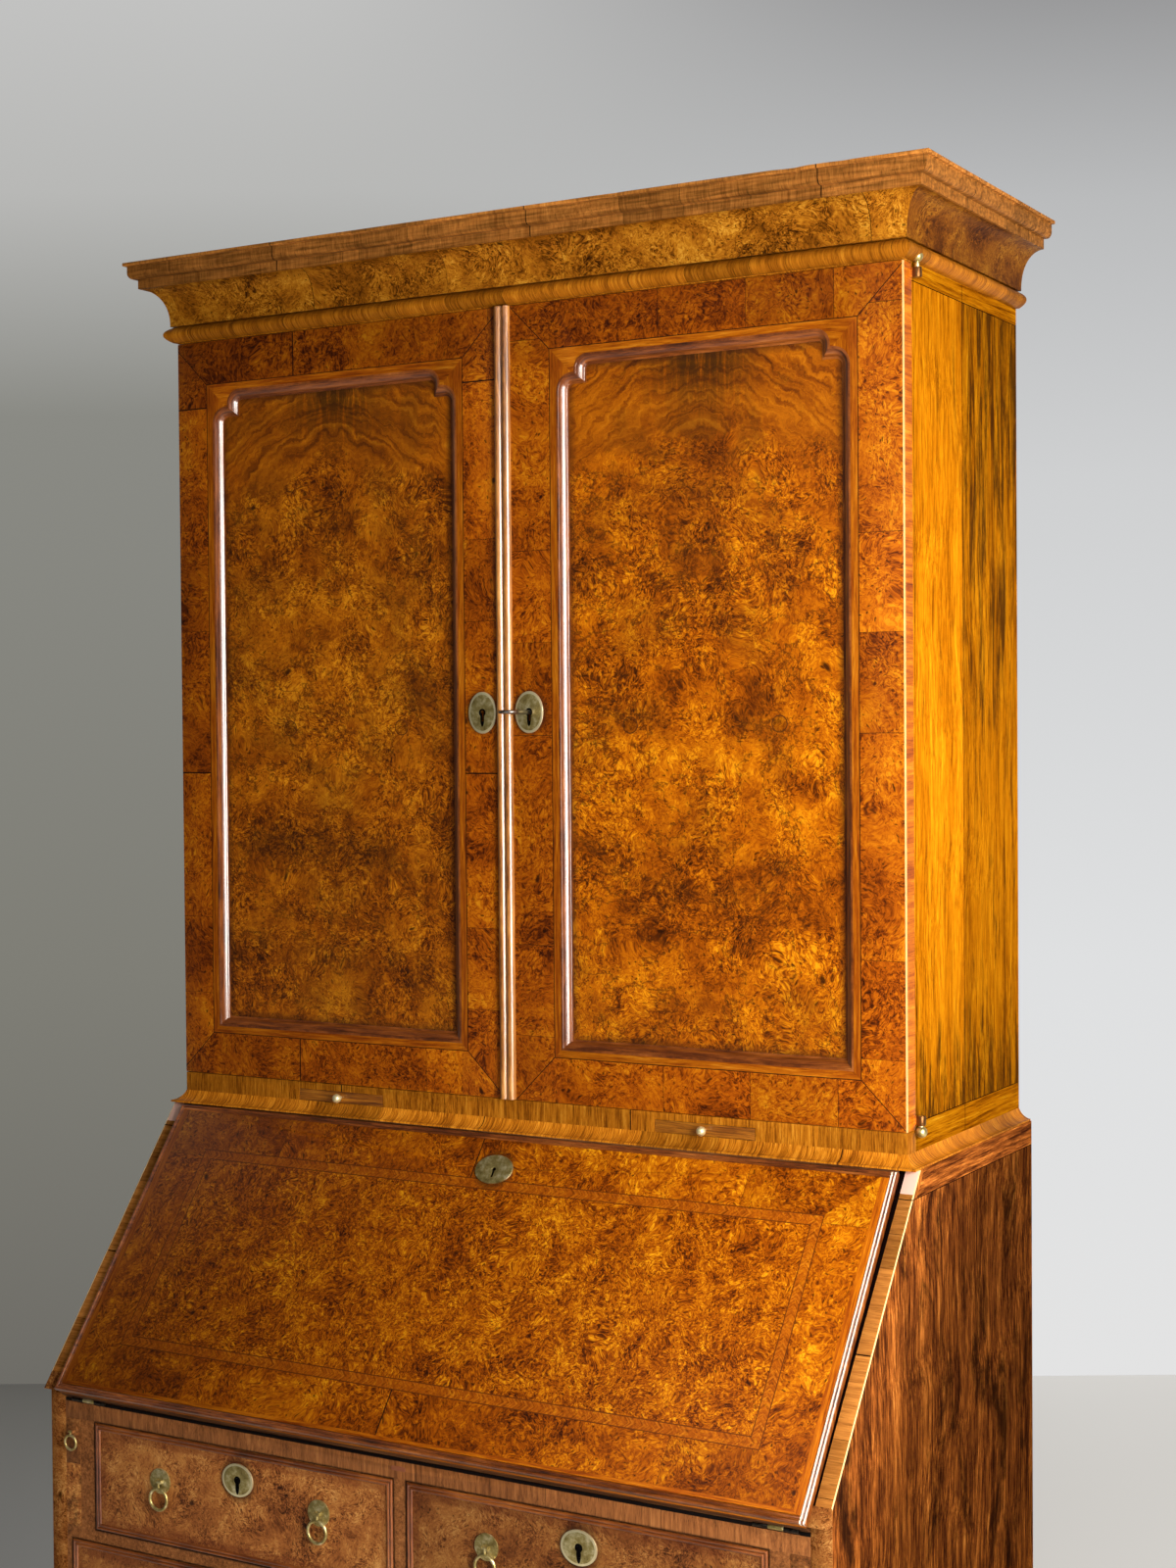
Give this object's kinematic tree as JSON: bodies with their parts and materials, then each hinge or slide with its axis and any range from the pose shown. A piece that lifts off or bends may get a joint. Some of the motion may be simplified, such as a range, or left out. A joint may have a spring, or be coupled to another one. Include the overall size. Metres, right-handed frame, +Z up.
{
  "type": "bureau bookcase",
  "caption": "Veneered walnut bureau bookcase with a cavetto cornice, shaped panel doors over candle slides, a sloping fall on lopers, and short and long drawers on bracket feet",
  "frame": {"origin": "on the floor, under the middle of the bounding box", "axes": "+Z up, -Y the front with doors, fall and drawers, +X the viewer's right when facing the front"},
  "size_m": [1.0644, 0.595, 2.1346],
  "materials": {
    "walnut_veneer": "walnut and burr walnut veneer, waxed, worn and faded",
    "walnut_moulding": "cross grained walnut mouldings, waxed",
    "carcase_wood": "oak and pine, dry and unpolished",
    "aged_brass": "old lacquered brass with dark recesses",
    "dark_iron": "blackened steel bolt and key"
  },
  "bodies": {
    "carcase": {"bookcase_sides": "walnut_veneer", "bookcase_top": "walnut_veneer", "bookcase_base": "carcase_wood", "bookcase_back_boards": "carcase_wood", "bookcase_shelves": "carcase_wood", "cornice_moulding": "walnut_moulding", "necking_bead": "walnut_moulding", "bureau_sides": "walnut_veneer", "bureau_top_board": "walnut_veneer", "dust_boards": "carcase_wood", "bureau_back_boards": "carcase_wood", "writing_bed": "walnut_veneer", "drawer_rails": "walnut_veneer", "drawer_dividers": "walnut_veneer", "waist_moulding": "walnut_moulding", "base_moulding": "walnut_moulding", "bracket_feet": "walnut_veneer", "pigeonhole_nest": "walnut_veneer", "door_hinge_pins": "aged_brass", "fall_hinge_leaves": "aged_brass"},
    "left_door": {"left_door_frame": "walnut_veneer", "left_door_panel": "walnut_veneer", "left_panel_moulding": "walnut_moulding", "left_door_brasses": "aged_brass"},
    "right_door": {"right_door_frame": "walnut_veneer", "right_door_panel": "walnut_veneer", "right_panel_moulding": "walnut_moulding", "right_door_brasses": "aged_brass", "meeting_bead": "walnut_moulding"},
    "top_bolt": {"left_door_top_bolt": "aged_brass"},
    "bottom_bolt": {"left_door_bottom_bolt": "aged_brass"},
    "lock_bolt": {"door_lock_bolt": "dark_iron"},
    "key": {"door_key": "dark_iron"},
    "fall": {"fall_board": "walnut_veneer", "fall_edge_bead": "walnut_moulding", "fall_brasses": "aged_brass"},
    "candle_slide_left": {"candle_slide_left": "walnut_veneer"},
    "loper_left": {"loper_left": "walnut_veneer"},
    "loper_ring_left": {"loper_ring_left": "aged_brass"},
    "nest_drawer_left": {"nest_drawer_left": "walnut_veneer"},
    "candle_slide_right": {"candle_slide_right": "walnut_veneer"},
    "loper_right": {"loper_right": "walnut_veneer"},
    "loper_ring_right": {"loper_ring_right": "aged_brass"},
    "nest_drawer_right": {"nest_drawer_right": "walnut_veneer"},
    "top_left_drawer": {"top_left_drawer": "walnut_veneer", "top_left_drawer_brasses": "aged_brass"},
    "top_left_ring_left": {"top_left_ring_left": "aged_brass"},
    "top_left_ring_right": {"top_left_ring_right": "aged_brass"},
    "top_right_drawer": {"top_right_drawer": "walnut_veneer", "top_right_drawer_brasses": "aged_brass"},
    "top_right_ring_left": {"top_right_ring_left": "aged_brass"},
    "top_right_ring_right": {"top_right_ring_right": "aged_brass"},
    "upper_long_drawer": {"upper_long_drawer": "walnut_veneer", "upper_long_drawer_brasses": "aged_brass"},
    "upper_long_ring_left": {"upper_long_ring_left": "aged_brass"},
    "upper_long_ring_right": {"upper_long_ring_right": "aged_brass"},
    "lower_long_drawer": {"lower_long_drawer": "walnut_veneer", "lower_long_drawer_brasses": "aged_brass"},
    "lower_long_ring_left": {"lower_long_ring_left": "aged_brass"},
    "lower_long_ring_right": {"lower_long_ring_right": "aged_brass"}
  },
  "joints": [
    {"name": "left_door_hinge", "type": "hinge", "parent": "carcase", "child": "left_door", "pos_m": [-0.4913, -0.0235, 1.127], "axis": [0, 0, -1], "range_deg": [0, 110]},
    {"name": "right_door_hinge", "type": "hinge", "parent": "carcase", "child": "right_door", "pos_m": [0.4913, -0.0235, 1.127], "axis": [0, 0, 1], "range_deg": [0, 110]},
    {"name": "top_bolt_slide", "type": "slide", "parent": "left_door", "child": "top_bolt", "axis": [0, 0, 1], "range_m": [0, 0.012]},
    {"name": "bottom_bolt_slide", "type": "slide", "parent": "left_door", "child": "bottom_bolt", "axis": [0, 0, -1], "range_m": [0, 0.012]},
    {"name": "lock_bolt_slide", "type": "slide", "parent": "right_door", "child": "lock_bolt", "axis": [-1, 0, 0], "range_m": [0, 0.01]},
    {"name": "key_turn", "type": "hinge", "parent": "right_door", "child": "key", "pos_m": [0.0256, -0.0455, 1.572], "axis": [0, -1, 0], "range_deg": [0, 180]},
    {"name": "fall_hinge", "type": "hinge", "parent": "carcase", "child": "fall", "pos_m": [0, -0.2775, 0.775], "axis": [1, 0, 0], "range_deg": [0, 128.1]},
    {"name": "candle_slide_left_run", "type": "slide", "parent": "carcase", "child": "candle_slide_left", "axis": [0, -1, 0], "range_m": [0, 0.2]},
    {"name": "loper_left_run", "type": "slide", "parent": "carcase", "child": "loper_left", "axis": [0, -1, 0], "range_m": [0, 0.26]},
    {"name": "loper_ring_left_swing", "type": "hinge", "parent": "loper_left", "child": "loper_ring_left", "pos_m": [-0.46665, -0.2821, 0.737], "axis": [-1, 0, 0], "range_deg": [0, 95]},
    {"name": "nest_drawer_left_run", "type": "slide", "parent": "carcase", "child": "nest_drawer_left", "axis": [0, -1, 0], "range_m": [0, 0.12]},
    {"name": "candle_slide_right_run", "type": "slide", "parent": "carcase", "child": "candle_slide_right", "axis": [0, -1, 0], "range_m": [0, 0.2]},
    {"name": "loper_right_run", "type": "slide", "parent": "carcase", "child": "loper_right", "axis": [0, -1, 0], "range_m": [0, 0.26]},
    {"name": "loper_ring_right_swing", "type": "hinge", "parent": "loper_right", "child": "loper_ring_right", "pos_m": [0.46665, -0.2821, 0.737], "axis": [-1, 0, 0], "range_deg": [0, 95]},
    {"name": "nest_drawer_right_run", "type": "slide", "parent": "carcase", "child": "nest_drawer_right", "axis": [0, -1, 0], "range_m": [0, 0.12]},
    {"name": "top_left_drawer_run", "type": "slide", "parent": "carcase", "child": "top_left_drawer", "axis": [0, -1, 0], "range_m": [0, 0.38]},
    {"name": "top_left_ring_left_swing", "type": "hinge", "parent": "top_left_drawer", "child": "top_left_ring_left", "pos_m": [-0.33427, -0.2821, 0.6985], "axis": [-1, 0, 0], "range_deg": [0, 95]},
    {"name": "top_left_ring_right_swing", "type": "hinge", "parent": "top_left_drawer", "child": "top_left_ring_right", "pos_m": [-0.11027, -0.2821, 0.6985], "axis": [-1, 0, 0], "range_deg": [0, 95]},
    {"name": "top_right_drawer_run", "type": "slide", "parent": "carcase", "child": "top_right_drawer", "axis": [0, -1, 0], "range_m": [0, 0.38]},
    {"name": "top_right_ring_left_swing", "type": "hinge", "parent": "top_right_drawer", "child": "top_right_ring_left", "pos_m": [0.10698, -0.2821, 0.6985], "axis": [-1, 0, 0], "range_deg": [0, 95]},
    {"name": "top_right_ring_right_swing", "type": "hinge", "parent": "top_right_drawer", "child": "top_right_ring_right", "pos_m": [0.33098, -0.2821, 0.6985], "axis": [-1, 0, 0], "range_deg": [0, 95]},
    {"name": "upper_long_drawer_run", "type": "slide", "parent": "carcase", "child": "upper_long_drawer", "axis": [0, -1, 0], "range_m": [0, 0.4]},
    {"name": "upper_long_ring_left_swing", "type": "hinge", "parent": "upper_long_drawer", "child": "upper_long_ring_left", "pos_m": [-0.3, -0.2821, 0.507], "axis": [-1, 0, 0], "range_deg": [0, 95]},
    {"name": "upper_long_ring_right_swing", "type": "hinge", "parent": "upper_long_drawer", "child": "upper_long_ring_right", "pos_m": [0.3, -0.2821, 0.507], "axis": [-1, 0, 0], "range_deg": [0, 95]},
    {"name": "lower_long_drawer_run", "type": "slide", "parent": "carcase", "child": "lower_long_drawer", "axis": [0, -1, 0], "range_m": [0, 0.4]},
    {"name": "lower_long_ring_left_swing", "type": "hinge", "parent": "lower_long_drawer", "child": "lower_long_ring_left", "pos_m": [-0.3, -0.2821, 0.269], "axis": [-1, 0, 0], "range_deg": [0, 95]},
    {"name": "lower_long_ring_right_swing", "type": "hinge", "parent": "lower_long_drawer", "child": "lower_long_ring_right", "pos_m": [0.3, -0.2821, 0.269], "axis": [-1, 0, 0], "range_deg": [0, 95]}
  ],
  "couplings": [
    {"joint": "lock_bolt_slide", "follows": "key_turn", "m_per_rad": 0.0031831}
  ]
}
